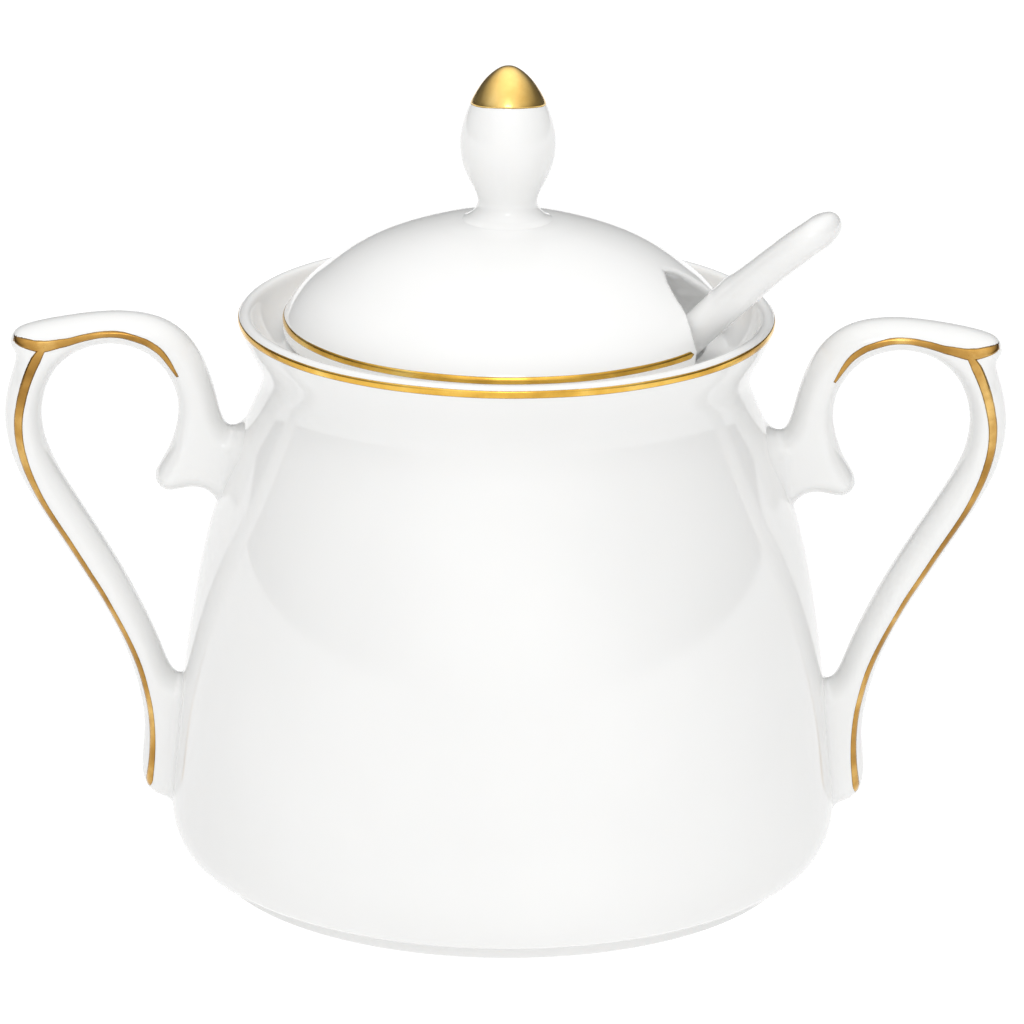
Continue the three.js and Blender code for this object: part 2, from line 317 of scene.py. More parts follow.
def ramp(tree, value, stops):
    """A colour ramp from [(position, grey or colour), ...]."""
    node = tree.nodes.new("ShaderNodeValToRGB")
    elements = node.color_ramp.elements
    while len(elements) < len(stops):
        elements.new(0.5)
    for element, (position, colour) in zip(elements, stops):
        element.position = position
        rgb = colour if isinstance(colour, tuple) else (colour,) * 3
        element.color = (*rgb, 1)
    tree.links.new(value, node.inputs["Fac"])
    return node.outputs["Color"]


def bump(tree, height, strength, distance, below=None):
    node = tree.nodes.new("ShaderNodeBump")
    node.inputs["Strength"].default_value = strength
    node.inputs["Distance"].default_value = distance
    tree.links.new(height, node.inputs["Height"])
    if below:
        tree.links.new(below, node.inputs["Normal"])
    return node.outputs["Normal"]


def porcelain(name, painted_glow, painted_hollow_glow=None):
    """Hard white porcelain under a clear glaze: faint clouding, a slightly uneven glassy surface.

    The first number after the name is painted light: an even glow that lifts the porcelain's shading.
    The optional last one is (centre, inner radius, outer radius, inner glow) in metres, for a stronger
    painted glow on the hollow side of a wall, which lifts the shade there."""
    material, tree, shader, place = node_material(name)
    cloud = noise(tree, place, 28, 3)
    tint = ramp(tree, cloud, [(0.3, (0.775, 0.775, 0.767)), (0.7, (0.805, 0.805, 0.797))])
    tree.links.new(tint, shader.inputs["Base Color"])
    gloss = ramp(tree, noise(tree, place, 60, 4), [(0.3, 0.05), (0.75, 0.10)])
    tree.links.new(gloss, shader.inputs["Roughness"])
    swell = bump(tree, noise(tree, place, 45, 1, 0.4), 0.05, 0.0006)
    skin = bump(tree, noise(tree, place, 900, 2, 0.5), 0.02, 0.00005, swell)
    tree.links.new(skin, shader.inputs["Normal"])
    shader.inputs["IOR"].default_value = 1.5
    shader.inputs["Subsurface Weight"].default_value = 0.12
    shader.inputs["Subsurface Radius"].default_value = (1.0, 0.9, 0.8)
    shader.inputs["Subsurface Scale"].default_value = 0.0015
    # Emission: painted light, an even glow that lifts the porcelain's shading.
    shader.inputs["Emission Color"].default_value = (1, 1, 1, 1)
    shader.inputs["Emission Strength"].default_value = painted_glow
    # A stronger painted glow towards the hollow side of the wall, lifting the shade there.
    if painted_hollow_glow:
        centre, inner, outer, painted_inner_glow = painted_hollow_glow
        away = tree.nodes.new("ShaderNodeVectorMath")
        away.operation = "DISTANCE"
        away.inputs[1].default_value = centre
        tree.links.new(place, away.inputs[0])
        span = tree.nodes.new("ShaderNodeMapRange")
        span.inputs["From Min"].default_value = inner
        span.inputs["From Max"].default_value = outer
        tree.links.new(away.outputs["Value"], span.inputs["Value"])
        painted_fade = ramp(tree, span.outputs["Result"], [(0.0, 1.0), (1.0, painted_glow / painted_inner_glow)])
        tree.links.new(painted_fade, shader.inputs["Emission Color"])
        shader.inputs["Emission Strength"].default_value = painted_inner_glow
    return material


def gilding(name, dark, middle, bright):
    """Fired gold laid on by brush: fine streaks, its tone uneven between the three colours."""
    material, tree, shader, place = node_material(name)
    shader.inputs["Metallic"].default_value = 1.0
    patch = noise(tree, place, 160, 4)
    tone = ramp(tree, patch, [(0.3, dark), (0.55, middle), (0.8, bright)])
    tree.links.new(tone, shader.inputs["Base Color"])
    gloss = ramp(tree, noise(tree, place, 420, 5, 0.6), [(0.3, 0.13), (0.75, 0.27)])
    tree.links.new(gloss, shader.inputs["Roughness"])
    streak = bump(tree, noise(tree, place, 900, 3, 0.6, (1, 1, 0.2)), 0.12, 0.00006)
    tree.links.new(streak, shader.inputs["Normal"])
    return material


# Every glazed piece carries a faint painted glow that lifts its shading.
GLAZE = porcelain("porcelain_glaze", 0.015)
# The lid and knob glow more, and most on the lid's hollow underside: painted light that lifts the shade
# under the lid and in the spoon's notch.
LID_PAINTED_GLOW = ((0, 0, 0.0715), 0.0265, 0.0305, 0.5)
LID_GLAZE = porcelain("lid_porcelain_glaze", 0.05, LID_PAINTED_GLOW)
CAP_GOLD = gilding("cap_gold", (0.74, 0.46, 0.12), (0.88, 0.60, 0.20), (0.96, 0.72, 0.32))
BAND_GOLD = gilding("band_gold", (0.50, 0.27, 0.04), (0.78, 0.46, 0.08), (0.95, 0.68, 0.20))
LINE_GOLD = gilding("line_gold", (0.28, 0.14, 0.03), (0.50, 0.28, 0.07), (0.88, 0.60, 0.22))

# ---- bowl ----
BODY_SIDE = [
    (BELLY_R - 5.3, 2.1), (BELLY_R - 2.6, 3.0), (BELLY_R - 0.8, 5.4), (BELLY_R, 9.3),
    (BELLY_R - 0.5, 16), (BELLY_R - 1.5, 26), (BELLY_R - 3.3, 40), (BELLY_R - 5.6, 51.5),
    (BELLY_R - 8.5, 61), (BELLY_R - 11.6, 69.5), (BELLY_R - 13.3, 73.6), (BELLY_R - 13.8, 76.6),
    (BELLY_R - 12.8, 79.8), (BELLY_R - 11.4, 82.6), (BAND_R - 0.25, 84.4),
]
FOOT_OUTER_R = 44.7
FOOT_INNER_R = 42.2
FLOOR_Z = 5.0
UNDERSIDE_Z = 2.0
LEDGE_Z = 82.2
THROAT_R = 29.9
THROAT_LOW = 79.2
RIM_TOP = BODY_HIGH[2]
TURNS = 256


def body_profile():
    """Half section of the pot, from the middle of its underside round the lip to its floor."""
    underside = rounded([
        (0, UNDERSIDE_Z), (FOOT_INNER_R - 1.4, UNDERSIDE_Z), (FOOT_INNER_R + 0.1, 0.0),
        (FOOT_OUTER_R - 0.1, 0.0), (FOOT_OUTER_R + 0.2, 1.9), BODY_SIDE[0]], 0.5)
    side = smooth_curve(BODY_SIDE, 0.5)
    lip = [
        (BAND_R, RIM_BAND[0][2] + 0.25), (BAND_R, RIM_BAND[1][2] - 0.1),
        (BAND_R - 0.35, RIM_TOP - 0.25), (BAND_R - 0.95, RIM_TOP - 0.02),
        (BAND_R - 1.7, RIM_TOP - 0.25), (BAND_R - 2.5, 85.1), (BAND_R - 3.6, 83.7),
        (BAND_R - 5.0, 82.7), (BAND_R - 6.3, LEDGE_Z + 0.05), (BAND_R - 7.4, LEDGE_Z),
    ]
    lip = smooth_curve([tuple(side[-1])] + lip, 0.2)[1:]
    ledge = rounded([
        (BAND_R - 7.6, LEDGE_Z), (THROAT_R, LEDGE_Z), (THROAT_R, THROAT_LOW),
        (THROAT_R + 0.5, THROAT_LOW - 1)], 0.7)
    inside = smooth_curve([
        (THROAT_R + 0.6, THROAT_LOW - 1.2), (33.2, 75.4), (36.3, 69), (39.5, 60), (42.1, 51),
        (44.4, 40), (46.2, 25), (47.0, 14), (46.3, 9.3), (44.2, 6.3), (40.8, FLOOR_Z + 0.1),
        (37, FLOOR_Z)], 0.8)
    return np.concatenate([underside, side[1:], lip, ledge, inside, [(20, FLOOR_Z), (0, FLOOR_Z)]])


body = revolve("bowl_pot", body_profile(), TURNS, GLAZE)
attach(body, "bowl")
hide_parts("bowl_body")

# ---- painted bands ----
BRUSH_SPREAD = 0.07         # the paint runs this far past each edge of the CAD band
BRUSH_WOBBLE = 0.05         # how far its edges waver
PAINT_RAISE = 0.045         # how far the paint stands out of the glaze, and how far it sinks in
PAINT_SINK = 0.06
BAND_END_TAPER = 0.03       # radians over which the end of a band is rounded off
BAND_END_PINCH = 0.42       # share of the width lost on each side at the very end


def band(name, radius_at, low, high, body_name, node, notch=None):
    """A painted gold band on a revolved edge: a thin lens that follows radius_at(z).

    notch is (azimuth, half angle) of a gap in the band, if it has one."""
    steps, turns = 10, 360
    rng = np.random.default_rng(11)
    phases = rng.uniform(0, 2 * math.pi, 6)

    def edge(angle, sign):
        ripple = sum(math.sin((k + 3) * 2 * angle + phases[k]) for k in range(6)) / 6
        return sign * BRUSH_WOBBLE * ripple

    spans = np.linspace(0, 2 * math.pi, turns, endpoint=False)
    if notch:
        middle, half = notch
        spans = np.linspace(middle + half, middle - half + 2 * math.pi, turns)
    points, faces = [], []
    for angle in spans:
        bottom = low - BRUSH_SPREAD + edge(angle, 1)
        top = high + BRUSH_SPREAD + edge(angle + 1.3, -1)
        if notch:
            from_end = min(angle - spans[0], spans[-1] - angle) / BAND_END_TAPER
            roundness = 1 - math.sqrt(1 - (1 - min(from_end, 1)) ** 2)
            pinch = roundness * (top - bottom) * BAND_END_PINCH
            bottom, top = bottom + pinch, top - pinch
        for side in (1, -1):
            order = range(steps + 1) if side == 1 else range(steps - 1, 0, -1)
            for s in order:
                z = bottom + (top - bottom) * s / steps
                swell = math.sin(math.pi * s / steps) ** 0.5
                r = radius_at(z) + swell * (PAINT_RAISE if side == 1 else -PAINT_SINK)
                points.append((r * math.cos(angle), r * math.sin(angle), z))
    ring = 2 * steps
    last = len(spans) if notch is None else len(spans) - 1
    for i in range(last):
        a, b = i * ring, ((i + 1) % len(spans)) * ring
        for s in range(ring):
            t = (s + 1) % ring
            faces.append((a + s, b + s, b + t, a + t))
    if notch:
        faces.append(tuple(range(ring)))
        faces.append(tuple(len(points) - 1 - s for s in range(ring)))
    obj = mesh_object(name, points, faces, BAND_GOLD)
    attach(obj, body_name)
    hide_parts(node)


def radius_on(profile):
    """Radius of a rising outer profile as a function of z."""
    z = profile[:, 1]
    order = np.argsort(z)
    return lambda height: float(np.interp(height, z[order], profile[order, 0]))


def outer_edge(profile, low, high, least):
    """The points of a profile between two heights and beyond a radius."""
    keep = (profile[:, 1] > low) & (profile[:, 1] < high) & (profile[:, 0] > least)
    return profile[keep]


rim_edge = outer_edge(body_profile(), RIM_BAND[0][2] - 1, RIM_BAND[1][2] + 0.6, BAND_R - 1.0)
band("rim_gold_band", radius_on(rim_edge), RIM_BAND[0][2], RIM_BAND[1][2], "bowl", "rim_gilding")

# ---- handles ----
# Side view of the right handle in XZ, closed inside the pot's wall.
HANDLE_OUTLINE = [
    (38.0, 67.2), (41.0, 67.6), (42.6, 69.4), (43.4, 72.2), (44.8, 77.0), (47.3, 81.5), (51.6, 84.65),
    (58.2, 85.75), (65.5, 85.05), (71.4, 83.8), (73.9, 82.5), (74.3, 80.9), (73.6, 79.4), (74.3, 76.0),
    (75.2, 72.0), (75.3, 68.4), (73.8, 62.0), (69.4, 53.8), (64.0, 45.2), (58.9, 36.2), (55.9, 27.9),
    (54.8, 20.5), (55.2, 14.4), (54.6, 11.2), (52.6, 9.4), (48.0, 8.9), (46.0, 12.0), (46.0, 26.0),
    (47.6, 27.6), (50.0, 28.7), (52.3, 33.5), (57.8, 45.2), (64.7, 56.7), (68.8, 64.4),
    (69.8, 70.5), (67.9, 76.5), (63.6, 80.15), (58.6, 81.05), (53.8, 79.5), (50.3, 75.4),
    (49.3, 70.6), (50.5, 65.3), (52.1, 62.2), (52.8, 60.0), (51.3, 58.3), (48.8, 58.5), (46.4, 58.7),
    (44.7, 58.0), (43.2, 56.6), (40.5, 56.4), (38.0, 58.5), (37.2, 62.0),
]
HANDLE_ROUND = 2.6          # how far in from its outline a handle starts to round over
# Height and width of the fillet on the pot.
ROOT_FILLET = [(30, 1.4), (55, 0.9), (60, 0.9), (65, 3.0)]
SKIRT_DEPTH = 0.12          # the handle's skirt starts this far under the pot's surface
SKIRT_THICK = 1.6
SKIRT_REACH = 4.0
# Room for a handle in the grid it is meshed in: on each side for its skirt, and past tip and top.
SKIRT_SPREAD = 5
BOX_ROOM = 1.2
handle_outline = smooth_curve(HANDLE_OUTLINE, 0.7, closed=True)
solid_outline = np.concatenate([[(0, 2.1)], smooth_curve(BODY_SIDE, 0.8), [(0, BODY_SIDE[-1][1])]])


def strap(points):
    """Distance to a handle's strap, rounded to a flat oval across."""
    d = outline_distance(points[:, 0], points[:, 2], handle_outline)
    across = np.abs(points[:, 1]) * HANDLE_ROUND / HANDLE_HALF_WIDTH
    return np.hypot(np.maximum(d + HANDLE_ROUND, 0), across) - HANDLE_ROUND


def handle_field(points):
    """The strap and its fillets on the pot, with a thin skirt hidden inside the pot's wall."""
    s = strap(points)
    r = np.hypot(points[:, 0], points[:, 1])
    pot = outline_distance(r, points[:, 2], solid_outline) + SKIRT_DEPTH
    joined = smooth_min(s, pot, np.interp(points[:, 2], *zip(*ROOT_FILLET)))
    near = np.maximum(s - SKIRT_REACH, -pot - SKIRT_THICK)
    return np.maximum(joined, near)


def mirrored(points, faces):
    return points * (-1, 1, 1), faces[:, ::-1]


grid_half_width = HANDLE_HALF_WIDTH + SKIRT_SPREAD
handle_low = (35.0, -grid_half_width, 5.0)
handle_high = (HANDLE_BOX[1][0] + BOX_ROOM, grid_half_width, HANDLE_BOX[1][2] + BOX_ROOM)
handle_cell = 0.45
handle_mesh = surface_net(handle_field, handle_low, handle_high, handle_cell)

# Painted strokes on a handle's cheek: x, z and width along the middle of each.
# The first runs over the arch, the second down the outer edge.
ARCH_STROKE = [
    (73.75, 82.2, 0.8), (72.2, 81.95, 1.3), (69.6, 81.5, 1.9), (67.4, 81.8, 1.5), (65.0, 82.4, 1.2),
    (60.4, 83.4, 1.05), (55.8, 83.0, 1.1), (52.2, 81.2, 1.1), (50.5, 79.2, 0.9), (49.2, 76.9, 0.45),
]
OUTER_STROKE = [
    (69.0, 81.5, 0.9), (70.3, 79.4, 1.6), (71.8, 75.8, 1.5), (73.0, 70.6, 1.35), (72.7, 65.4, 1.25),
    (70.6, 59.0, 1.1), (65.6, 50.4, 1.0), (60.2, 41.4, 0.95), (55.9, 32.5, 0.95), (54.1, 26.4, 0.9),
    (53.4, 20.4, 0.9), (53.6, 15.2, 1.0), (54.0, 12.4, 1.15), (54.1, 11.4, 0.5),
]
STROKE_RAISE = 0.11         # how far a stroke stands out of the glaze, and how far it sinks in
STROKE_SINK = 0.05
STROKE_BASE = 0.005         # the edges of a stroke lie this far inside the cheek
STROKE_TREMOR = 0.045
STROKE_LANES = 6
HALVINGS = 26


def cheek_height(x, z, side):
    """y of the handle's surface at x, z on its front (-1) or back (1)."""
    low = np.zeros(len(x))
    high = np.full(len(x), HANDLE_HALF_WIDTH + SKIRT_REACH)
    for _ in range(HALVINGS):
        middle = (low + high) / 2
        outside = handle_field(np.stack([x, middle, z], 1)) > 0
        high = np.where(outside, middle, high)
        low = np.where(outside, low, middle)
    return side * (low + high) / 2


def stroke(path, side, seed):
    """Points and faces of one brush stroke: a thin lens laid on the cheek."""
    middle = [p[:2] for p in path]
    line = smooth_curve(middle, 0.4)
    knots = np.concatenate([[0], np.cumsum(np.linalg.norm(np.diff(middle, axis=0), axis=1))])
    share = np.linspace(0, knots[-1], len(line))
    width = np.interp(share, knots, [p[2] for p in path])
    rng = np.random.default_rng(seed)
    wavers = rng.uniform(-STROKE_TREMOR, STROKE_TREMOR, 24)
    tremor = np.interp(share, np.linspace(0, knots[-1], len(wavers)), wavers)
    tangent = np.gradient(line, axis=0)
    tangent /= np.linalg.norm(tangent, axis=1)[:, None]
    normal = np.stack([-tangent[:, 1], tangent[:, 0]], 1)
    top, bottom = [], []
    for lane in range(STROKE_LANES + 1):
        u = 2 * lane / STROKE_LANES - 1
        at = line + normal * (u * width / 2 + tremor)[:, None]
        y = cheek_height(at[:, 0], at[:, 1], side)
        swell = math.sqrt(max(1 - u * u, 0))
        above = y + side * (STROKE_RAISE * swell - STROKE_BASE)
        below = y - side * STROKE_SINK * swell
        top.append(np.stack([at[:, 0], above, at[:, 1]], 1))
        bottom.append(np.stack([at[:, 0], below, at[:, 1]], 1))
    section = top + bottom[-2:0:-1]
    points = np.stack(section, 1).reshape(-1, 3)
    ring = len(section)
    faces = []
    for i in range(len(line) - 1):
        for s in range(ring):
            t = (s + 1) % ring
            quad = (i * ring + s, i * ring + t, (i + 1) * ring + t, (i + 1) * ring + s)
            faces.append(quad if side > 0 else quad[::-1])
    first = tuple(range(ring))
    last = tuple((len(line) - 1) * ring + s for s in range(ring))
    faces.append(first[::-1] if side > 0 else first)
    faces.append(last if side > 0 else last[::-1])
    return points, faces


for side, mirror in (("right", 1), ("left", -1)):
    points, faces = handle_mesh if mirror == 1 else mirrored(*handle_mesh)
    handle = mesh_object(f"handle_{side}_scroll", points, faces, GLAZE)
    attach(handle, "bowl")
    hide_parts(f"handle_{side}")
    for face, sign in (("front", -1), ("back", 1)):
        all_points, all_faces = [], []
        for number, path in enumerate((ARCH_STROKE, OUTER_STROKE)):
            points, faces = stroke(path, sign, 20 + number)
            base = sum(len(p) for p in all_points)
            all_points.append(points * (mirror, 1, 1))
            for f in faces:
                f = f if mirror == 1 else f[::-1]
                all_faces.append(tuple(base + i for i in f))
        all_points = np.concatenate(all_points)
        gold = mesh_object(f"handle_{side}_gold_{face}", all_points, all_faces, LINE_GOLD)
        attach(gold, "bowl")
        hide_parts(f"handle_{side}_gilding_{face}")

# ---- lid ----
LID_TOP = 101.4
NOTCH_AZIMUTH = math.radians(-14)
NOTCH_START_R = 12.0
NOTCH_SIDE = [(10.6, 84.5), (10.0, 86.2), (8.3, 88.5), (6.4, 90.3), (4.9, 91.8), (2.5, 93.4), (0, 94.2)]
NOTCH_EDGE = 1.0            # rounding of the notch's edges
FLANGE_R = 28.9
FLANGE_LOW = 78.6
LID_SEAT = LEDGE_Z + 0.25
BAND_END_GAP = 0.055        # radians from the notch to the end of the gold band


def lid_outline():
    """Half section of the lid as a closed outline of (r, z)."""
    dome = smooth_curve([
        (LID_BAND_R - 0.25, LID_BAND[1][2] + 0.15), (LID_BAND_R - 1.15, 87.6), (30.3, 90),
        (27.9, 92), (25.1, 94.1), (21.6, 96.2), (17.2, 98.1), (12.2, 99.7), (7.0, 100.8),
        (0, LID_TOP)], 0.5)
    edge = rounded([
        (FLANGE_R, LID_SEAT - 0.4), (FLANGE_R, LID_SEAT), (LID_BAND_R - 0.7, LID_SEAT),
        (LID_BAND_R, LID_SEAT + 1.2), (LID_BAND_R, LID_BAND[1][2] - 0.35), tuple(dome[0])], 0.6)
    under = smooth_curve([(0, 96.4), (8, 95.7), (14, 93.6), (18.5, 90.4), (21.8, 86.8),
                          (FLANGE_R - 5.0, 83.2), (FLANGE_R - 4.6, 80.5)], 0.8)
    flange = rounded([
        (FLANGE_R - 4.5, 80.4), (FLANGE_R - 4.0, FLANGE_LOW), (FLANGE_R - 0.1, FLANGE_LOW),
        (FLANGE_R, FLANGE_LOW + 1.5), (FLANGE_R, LID_SEAT - 0.5)], 0.8)
    return np.concatenate([under, flange, edge, dome[1:]])


lid_half = lid_outline()
lid_closed = np.concatenate([lid_half, [(-5, LID_TOP), (-5, lid_half[0][1])]])
notch_side = smooth_curve(NOTCH_SIDE, 0.6)
notch_half = np.concatenate([[(NOTCH_SIDE[0][0], FLANGE_LOW - 8.6)], notch_side])
notch_arch = np.concatenate([notch_half, notch_half[-2::-1] * (-1, 1)])


def lid_field(points):
    """The lid's shell less the notch for the spoon."""
    r = np.hypot(points[:, 0], points[:, 1])
    shell = outline_distance(r, points[:, 2], lid_closed)
    along = np.array([math.cos(NOTCH_AZIMUTH), math.sin(NOTCH_AZIMUTH)])
    out = points[:, 0] * along[0] + points[:, 1] * along[1]
    across = -points[:, 0] * along[1] + points[:, 1] * along[0]
    notch = np.maximum(outline_distance(across, points[:, 2], notch_arch), NOTCH_START_R - out)
    return smooth_max(shell, -notch, NOTCH_EDGE)


lid_low = (-LID_BAND_R - 1, -LID_BAND_R - 1, FLANGE_LOW - 1)
lid_high = (LID_BAND_R + 1, LID_BAND_R + 1, LID_TOP + 1)
lid_cell = 0.5
lid = mesh_object("lid_dome", *surface_net(lid_field, lid_low, lid_high, lid_cell), LID_GLAZE)
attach(lid, "lid")
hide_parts("lid")

band_half_gap = math.asin(NOTCH_SIDE[1][0] / LID_BAND_R) + BAND_END_GAP
lid_edge = outer_edge(lid_half, LID_BAND[0][2] - 1.5, LID_BAND[1][2] + 0.8, LID_BAND_R - 1.5)
band("lid_gold_band", radius_on(lid_edge), LID_BAND[0][2], LID_BAND[1][2], "lid", "lid_gilding",
     (NOTCH_AZIMUTH, band_half_gap))

# ---- knob ----
KNOB_TOP = KNOB_CAP[1][2]
KNOB_SIDE = smooth_curve([
    (9.6, 100.15), (7.4, 100.6), (5.6, 101.5), (4.55, 103.0), (4.65, 104.6), (5.7, 106.8),
    (6.8, 109.6), (7.15, 112.6), (6.85, 115.0), (6.1, 117.4), (4.95, 119.8), (3.55, 121.9),
    (2.1, 123.3), (0.9, 124.0), (0, KNOB_TOP - 0.06)], 0.3)
KNOB_TURNS = 128
knob_profile = np.concatenate([[(0, 99.6), (9.6, 99.9)], KNOB_SIDE])
knob = revolve("lid_finial", knob_profile, KNOB_TURNS, LID_GLAZE)
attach(knob, "lid")
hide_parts("lid_knob")

CAP_START_Z = 116.5         # the part of the knob's side that the cap may cover
CAP_EDGE_Z = KNOB_CAP[0][2] + 0.1
CAP_FRONT_RISE = 0.45       # the cap's edge is this much higher at the front
CAP_RIPPLE = 0.03
CAP_RAISE = 0.05
CAP_SINK = 0.06
CAP_STEPS = 30


def gold_cap():
    """The gilt top of the knob, with a brushed edge that dips at the sides and back."""
    side = KNOB_SIDE[KNOB_SIDE[:, 1] > CAP_START_Z]
    tangent = np.gradient(side, axis=0)
    tangent /= np.linalg.norm(tangent, axis=1)[:, None]
    normal = np.stack([tangent[:, 1], -tangent[:, 0]], 1)
    length = np.concatenate([[0], np.cumsum(np.linalg.norm(np.diff(side, axis=0), axis=1))])
    turns, steps = KNOB_TURNS, CAP_STEPS
    rng = np.random.default_rng(5)
    phases = rng.uniform(0, 2 * math.pi, 5)
    points = []
    for lift, order in ((CAP_RAISE, range(steps)), (-CAP_SINK, range(1, steps))):
        for s in order:
            for i in range(turns):
                angle = 2 * math.pi * i / turns
                front = -math.sin(angle)
                ripple = sum(math.sin((k + 2) * angle + phases[k]) for k in range(5)) * CAP_RIPPLE
                edge_z = CAP_EDGE_Z + CAP_FRONT_RISE * max(front, 0) ** 1.5 + ripple
                start = np.interp(edge_z, side[:, 1], length)
                at = start + (length[-1] - start) * s / steps
                swell = min(1.0, (s / steps * 12) ** 0.5) if s else 0.0
                out, up = (np.interp(at, length, normal[:, k]) * lift * swell for k in (0, 1))
                r = np.interp(at, length, side[:, 0]) + out
                z = np.interp(at, length, side[:, 1]) + up
                points.append((r * math.cos(angle), r * math.sin(angle), z))
    points.append((0, 0, KNOB_TOP - 0.01))
    points.append((0, 0, KNOB_TOP - 0.12))
    faces = []
    inner = steps * turns
    for i in range(turns):
        j = (i + 1) % turns
        for s in range(steps - 1):
            a, b = s * turns, (s + 1) * turns
            faces.append((a + i, a + j, b + j, b + i))
        faces.append((inner - turns + i, inner - turns + j, len(points) - 2))
        faces.append((j, i, inner + i, inner + j))
        for s in range(steps - 2):
            a, b = inner + s * turns, inner + (s + 1) * turns
            faces.append((a + j, a + i, b + i, b + j))
        last = inner + (steps - 2) * turns
        faces.append((last + j, last + i, len(points) - 1))
    return points, faces


cap = mesh_object("finial_gold_cap", *gold_cap(), CAP_GOLD)
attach(cap, "lid")
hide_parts("knob_gilding")

# ---- spoon ----
SPOON_AZIMUTH = math.radians(-20)
SPOON_SLOPE = math.radians(46)
AT_NOTCH = np.array([31.4, 88.1])
STRAIGHT = 109.5            # from the notch down to the tip
DISH_LENGTH = 37.0
DISH_HALF_WIDTH = 12.0
DISH_DEPTH = 4.5
NECK_HALF_WIDTH = 3.2
HOLLOW_LENGTH = 19          # the finger end is slightly flattened on top over this length
HOLLOW_SHARE = 0.22
SPOON_AROUND = 28
# Distance from the finger end, half width.
SPOON_WIDTHS = [
    (0, 1.2), (1.2, 3.6), (3.5, 5.2), (7, 5.8), (13, 5.3), (20, 4.6), (28, 4.35), (45, 3.8),
    (70, 3.0),
]
# Distance from the finger end, half thickness. The last one holds as far as the dish.
SPOON_THICKNESSES = [
    (0, 0.9), (1.0, 2.0), (3, 2.75), (8, 3.0), (20, 2.9), (30, 2.75), (70, 2.2),
]
DISH_START_THICKNESS = 2.0


def spoon_line():
    """Centre line in its upright plane, from the finger end down to the tip, as (r, z)."""
    down = np.array([-math.cos(SPOON_SLOPE), -math.sin(SPOON_SLOPE)])
    bend = [(51.5, 105.8), (47.2, 102.9), (41.2, 97.9), (35.8, 92.6)]
    straight = [tuple(AT_NOTCH + t * down) for t in (0, 6, 14, 24, 40, 60, 80, 95, STRAIGHT)]
    return smooth_curve(bend + straight, 0.75)


def spoon_mesh():
    """Points and faces of the spoon, as ovals along its centre line."""
    cos, sin = math.cos(SPOON_AZIMUTH), math.sin(SPOON_AZIMUTH)
    line = spoon_line()
    length = np.concatenate([[0], np.cumsum(np.linalg.norm(np.diff(line, axis=0), axis=1))])
    whole = length[-1]
    dish_start = whole - DISH_LENGTH
    tangent = np.gradient(line, axis=0)
    tangent /= np.linalg.norm(tangent, axis=1)[:, None]
    up = np.stack([tangent[:, 1], -tangent[:, 0]], 1)
    neck = [(dish_start - 6, 2.6), (dish_start, NECK_HALF_WIDTH)]
    half_width = smooth_curve(SPOON_WIDTHS + neck, 0.5)
    thickness = np.array(SPOON_THICKNESSES + [(dish_start, DISH_START_THICKNESS)])
    points, rows = [], []
    for i, s in enumerate(length):
        if s < dish_start:
            half = np.interp(s, half_width[:, 0], half_width[:, 1])
            thick = np.interp(s, thickness[:, 0], thickness[:, 1])
            dish = 0.0
        else:
            v = (s - dish_start) / DISH_LENGTH
            swell = math.sin(math.pi * min(v, 1) ** 0.85)
            half = max(NECK_HALF_WIDTH * (1 - v) ** 0.8, DISH_HALF_WIDTH * swell ** 0.75)
            thick = 1.9 - 0.9 * v
            dish = DISH_DEPTH * swell
        if i == len(length) - 1:
            half, thick, dish = 0.8, 0.5, 0.0
        rows.append(len(points))
        for k in range(SPOON_AROUND):
            angle = 2 * math.pi * k / SPOON_AROUND
            u = math.cos(angle)
            rise = thick * math.sin(angle) - dish * (1 - u * u)
            if 0 < s < HOLLOW_LENGTH and math.sin(angle) > 0:
                flattened = math.sin(math.pi * s / HOLLOW_LENGTH) ** 0.5 * (1 - u * u)
                rise *= 1 - HOLLOW_SHARE * flattened
            r = line[i, 0] + up[i, 0] * rise
            z = line[i, 1] + up[i, 1] * rise
            across = half * u
            points.append((r * cos - across * sin, r * sin + across * cos, z))
    faces = []
    for a, b in zip(rows[:-1], rows[1:]):
        for k in range(SPOON_AROUND):
            j = (k + 1) % SPOON_AROUND
            faces.append((a + k, b + k, b + j, a + j))
    faces.append(tuple(range(SPOON_AROUND)))
    faces.append(tuple(rows[-1] + SPOON_AROUND - 1 - k for k in range(SPOON_AROUND)))
    return points, faces


spoon = mesh_object("sugar_spoon", *spoon_mesh(), GLAZE)
smoother = spoon.modifiers.new("soften", "SUBSURF")
smoother.levels = 1
smoother.render_levels = 1
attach(spoon, "spoon")
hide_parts("spoon")

# ---- floor, lights and camera ----
FLOOR_HALF_WIDTH = 3.0
# Brightness of the tent from behind (0) to the front (1), and what is added to it from level (0)
# to overhead (1).
TENT_FRONT = [(0.0, 0.07), (0.5, 0.07), (0.8, 0.38), (1.0, 1.3)]
TENT_TOP = [(0.0, 0.0), (0.35, 0.12), (0.7, 0.86), (1.0, 1.6)]


def floor():
    """Pale paper that the bowl stands on."""
    mesh = bpy.data.meshes.new("floor")
    s = FLOOR_HALF_WIDTH
    mesh.from_pydata([(-s, -s, 0), (s, -s, 0), (s, s, 0), (-s, s, 0)], [], [(0, 1, 2, 3)])
    material, _, shader, _ = node_material("floor_paper")
    shader.inputs["Base Color"].default_value = (0.3, 0.3, 0.3, 1)
    shader.inputs["Roughness"].default_value = 0.7
    shader.inputs["Emission Color"].default_value = (1, 1, 1, 1)
    shader.inputs["Emission Strength"].default_value = 0.78
    mesh.materials.append(material)
    obj = bpy.data.objects.new("floor", mesh)
    bpy.context.scene.collection.objects.link(obj)


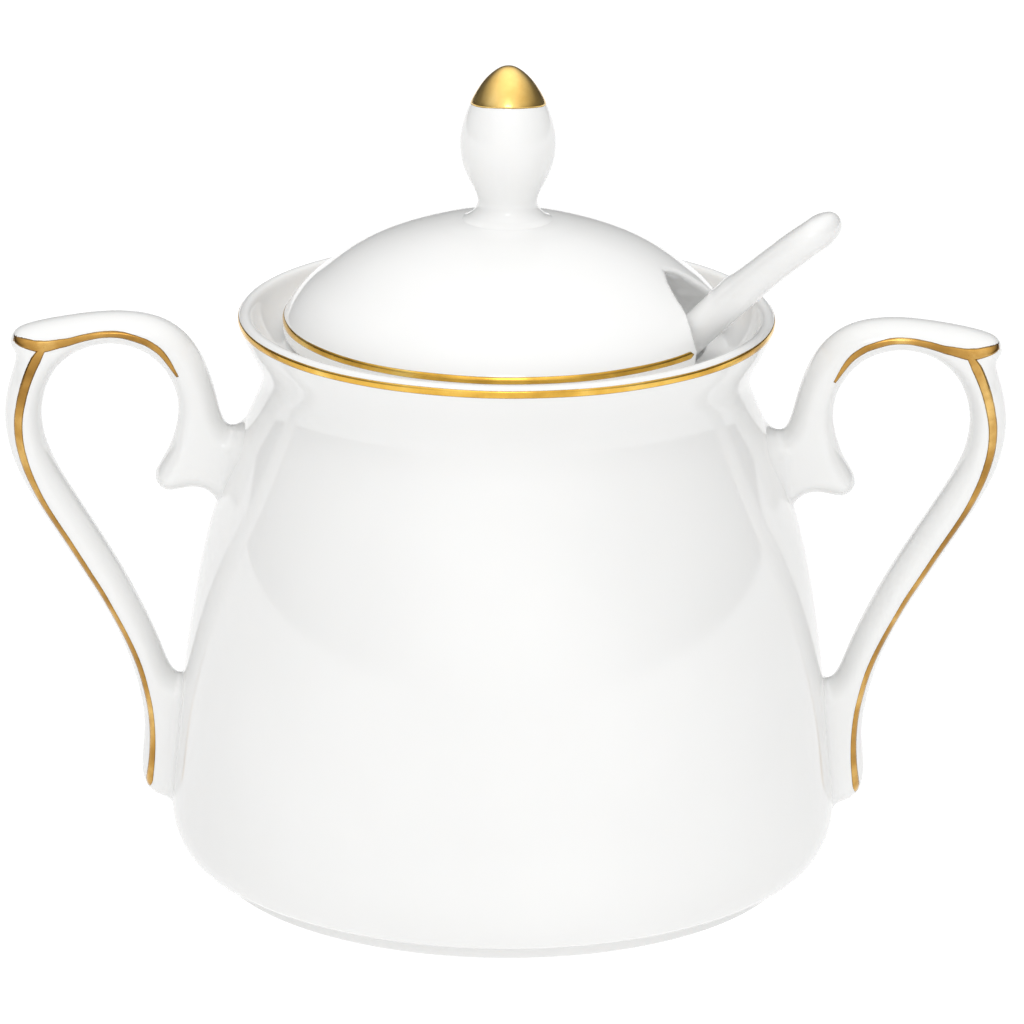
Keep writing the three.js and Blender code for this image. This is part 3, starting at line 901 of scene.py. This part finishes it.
def softbox(name, place, target, width, height, power):
    """A rectangular light that faces the target."""
    light = bpy.data.lights.new(name, "AREA")
    light.shape = "RECTANGLE"
    light.size = width
    light.size_y = height
    light.energy = power
    obj = bpy.data.objects.new(name, light)
    obj.location = place
    obj.rotation_euler = (Vector(target) - Vector(place)).to_track_quat("-Z", "Y").to_euler()
    bpy.context.scene.collection.objects.link(obj)


def studio():
    """A white tent as the world's light: bright in front and above, dark behind."""
    world = bpy.data.worlds.new("studio")
    world.use_nodes = True
    tree = world.node_tree
    place = tree.nodes.new("ShaderNodeTexCoord")
    split = tree.nodes.new("ShaderNodeSeparateXYZ")
    tree.links.new(place.outputs["Generated"], split.inputs["Vector"])
    parts = []
    spans = (("Y", 1.0, -1.0, TENT_FRONT), ("Z", 0.0, 1.0, TENT_TOP))
    for axis, near, far, stops in spans:
        turn = tree.nodes.new("ShaderNodeMapRange")
        turn.inputs["From Min"].default_value = near
        turn.inputs["From Max"].default_value = far
        tree.links.new(split.outputs[axis], turn.inputs["Value"])
        parts.append(ramp(tree, turn.outputs["Result"], stops))
    total = tree.nodes.new("ShaderNodeMath")
    for part, socket in zip(parts, total.inputs):
        tree.links.new(part, socket)
    background = tree.nodes["Background"]
    background.inputs["Color"].default_value = (1, 1, 1, 1)
    tree.links.new(total.outputs["Value"], background.inputs["Strength"])
    bpy.context.scene.world = world


floor()
softbox("front_box", (0.0, -1.0, 0.78), (0, 0, 0.05), 0.36, 0.24, 1.0)
studio()
bpy.context.scene.view_settings.view_transform = "Standard"

CAMERA_DISTANCE = 1.0
CAMERA_PITCH = math.radians(17.9)
CAMERA_ROLL = math.radians(0.49)
LOOK_HEIGHT = 0.0548
SIDE_STEP = 0.00106
camera = bpy.data.cameras.new("camera")
camera.lens = 232.5
camera.sensor_width = 36
camera_object = bpy.data.objects.new("camera", camera)
camera_object.location = (SIDE_STEP, -CAMERA_DISTANCE * math.cos(CAMERA_PITCH),
                          LOOK_HEIGHT + CAMERA_DISTANCE * math.sin(CAMERA_PITCH))
aim = Matrix.Rotation(math.pi / 2 - CAMERA_PITCH, 3, "X") @ Matrix.Rotation(CAMERA_ROLL, 3, "Z")
camera_object.rotation_euler = aim.to_euler()
bpy.context.scene.collection.objects.link(camera_object)
bpy.context.scene.camera = camera_object
